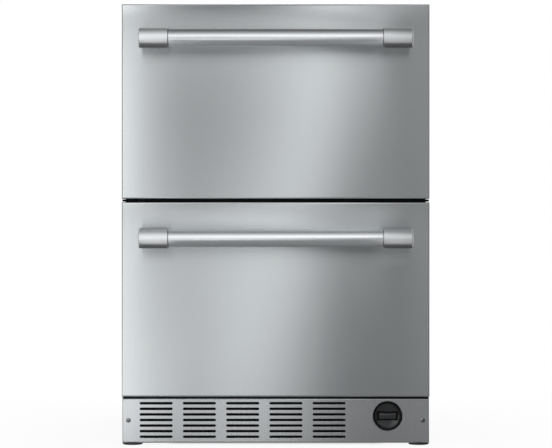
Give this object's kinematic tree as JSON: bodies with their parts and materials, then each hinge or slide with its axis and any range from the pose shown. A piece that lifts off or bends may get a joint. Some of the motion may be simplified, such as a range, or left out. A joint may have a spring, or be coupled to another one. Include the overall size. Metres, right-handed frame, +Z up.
{
  "type": "undercounter drawer refrigerator",
  "caption": "Undercounter refrigerator with stacked drawers behind brushed stainless fronts, round bar handles and a slotted toe grille with a control knob.",
  "frame": {"origin": "middle of the footprint on the floor, midway between the handles' front and the cabinet's back", "axes": "+X to the right seen from the front, the drawers open towards -Y, +Z up"},
  "size_m": [0.606, 0.6654, 0.868],
  "materials": {
    "front_steel": "vertical brushed stainless",
    "grille_steel": "brushed stainless",
    "bar_steel": "polished stainless",
    "cap_steel": "satin stainless",
    "screw_steel": "bright",
    "slide_steel": "zinc plated",
    "wrapper_paint": "textured black powder coat",
    "galvanised": "galvanised sheet",
    "foam": "rigid foam",
    "liner_plastic": "smooth white",
    "bin_plastic": "fine texture, pale grey",
    "divider_plastic": "smooth blue grey",
    "seal_rubber": "soft black",
    "foot_rubber": "black",
    "black_plastic": "moulded black",
    "knob_plastic": "satin black",
    "pot_paint": "gloss black",
    "fin_aluminium": "bare",
    "copper": "bare copper",
    "light_diffuser": "opal"
  },
  "bodies": {
    "cabinet": {"cabinet_shell": "wrapper_paint", "back_panel": "galvanised", "cabinet_insulation": "foam", "inner_liner": "liner_plastic", "centre_rail": "wrapper_paint", "base_pan": "galvanised", "leg_nuts": "slide_steel", "toe_grille": "grille_steel", "grille_screws": "screw_steel", "machine_cover": "wrapper_paint", "cover_screws": "screw_steel", "cord_gland": "black_plastic", "compressor": "pot_paint", "compressor_feet": "foot_rubber", "compressor_terminal_cover": "black_plastic", "condenser": "fin_aluminium", "fan_shroud": "black_plastic", "condenser_fan_motor": "galvanised", "filter_drier": "copper", "refrigerant_lines": "copper", "drain_pan": "black_plastic", "drain_tube": "black_plastic", "evaporator": "fin_aluminium", "evaporator_cover": "liner_plastic", "evaporator_fan_motor": "black_plastic", "thermostat": "galvanised", "thermostat_sensor": "copper", "interior_lights": "light_diffuser", "upper_outer_slides": "slide_steel", "lower_outer_slides": "slide_steel"},
    "condenser_fan_blade": {"condenser_fan_blade": "black_plastic"},
    "control_knob": {"control_knob": "knob_plastic"},
    "evaporator_fan_blade": {"evaporator_fan_blade": "bin_plastic"},
    "leg_front_left": {"leg_front_left": "black_plastic"},
    "leg_front_right": {"leg_front_right": "black_plastic"},
    "leg_rear_left": {"leg_rear_left": "black_plastic"},
    "leg_rear_right": {"leg_rear_right": "black_plastic"},
    "lower_mid_slides": {"lower_mid_slides": "slide_steel"},
    "upper_mid_slides": {"upper_mid_slides": "slide_steel"},
    "upper_drawer": {"upper_front_skin": "front_steel", "upper_front_core": "foam", "upper_front_panel": "liner_plastic", "upper_seal": "seal_rubber", "upper_handle_bar": "bar_steel", "upper_handle_caps": "cap_steel", "upper_handle_screws": "screw_steel", "upper_bin": "bin_plastic", "upper_inner_slides": "slide_steel"},
    "lower_drawer": {"lower_front_skin": "front_steel", "lower_front_core": "foam", "lower_front_panel": "liner_plastic", "lower_seal": "seal_rubber", "lower_handle_bar": "bar_steel", "lower_handle_caps": "cap_steel", "lower_handle_screws": "screw_steel", "lower_bin": "bin_plastic", "lower_inner_slides": "slide_steel"},
    "upper_divider": {"upper_bin_divider": "divider_plastic"},
    "lower_divider": {"lower_bin_divider": "divider_plastic"}
  },
  "joints": [
    {"name": "upper_drawer_slide", "type": "slide", "parent": "cabinet", "child": "upper_drawer", "axis": [0, -1, 0], "range_m": [0, 0.42]},
    {"name": "lower_drawer_slide", "type": "slide", "parent": "cabinet", "child": "lower_drawer", "axis": [0, -1, 0], "range_m": [0, 0.25]},
    {"name": "upper_mid_slide", "type": "slide", "parent": "cabinet", "child": "upper_mid_slides", "axis": [0, -1, 0], "range_m": [0, 0.21]},
    {"name": "lower_mid_slide", "type": "slide", "parent": "cabinet", "child": "lower_mid_slides", "axis": [0, -1, 0], "range_m": [0, 0.125]},
    {"name": "upper_divider_slide", "type": "slide", "parent": "upper_drawer", "child": "upper_divider", "axis": [0, -1, 0], "range_m": [-0.12, 0.12]},
    {"name": "lower_divider_slide", "type": "slide", "parent": "lower_drawer", "child": "lower_divider", "axis": [0, -1, 0], "range_m": [-0.07, 0.07]},
    {"name": "control_knob_turn", "type": "hinge", "parent": "cabinet", "child": "control_knob", "pos_m": [0.2207, -0.25925, 0.0573], "axis": [0, 1, 0], "range_deg": [0, 270]},
    {"name": "condenser_fan_spin", "type": "hinge", "parent": "cabinet", "child": "condenser_fan_blade", "pos_m": [0.118, 0.21475, 0.1362], "axis": [0, 1, 0], "continuous": true},
    {"name": "evaporator_fan_spin", "type": "hinge", "parent": "cabinet", "child": "evaporator_fan_blade", "pos_m": [0, 0.26075, 0.738], "axis": [0, 1, 0], "continuous": true},
    {"name": "leg_front_left_height", "type": "slide", "parent": "cabinet", "child": "leg_front_left", "axis": [0, 0, -1], "range_m": [0, 0.025]},
    {"name": "leg_front_right_height", "type": "slide", "parent": "cabinet", "child": "leg_front_right", "axis": [0, 0, -1], "range_m": [0, 0.025]},
    {"name": "leg_rear_left_height", "type": "slide", "parent": "cabinet", "child": "leg_rear_left", "axis": [0, 0, -1], "range_m": [0, 0.025]},
    {"name": "leg_rear_right_height", "type": "slide", "parent": "cabinet", "child": "leg_rear_right", "axis": [0, 0, -1], "range_m": [0, 0.025]}
  ],
  "couplings": [
    {"joint": "upper_mid_slide", "follows": "upper_drawer_slide", "ratio": 0.5},
    {"joint": "lower_mid_slide", "follows": "lower_drawer_slide", "ratio": 0.5}
  ]
}
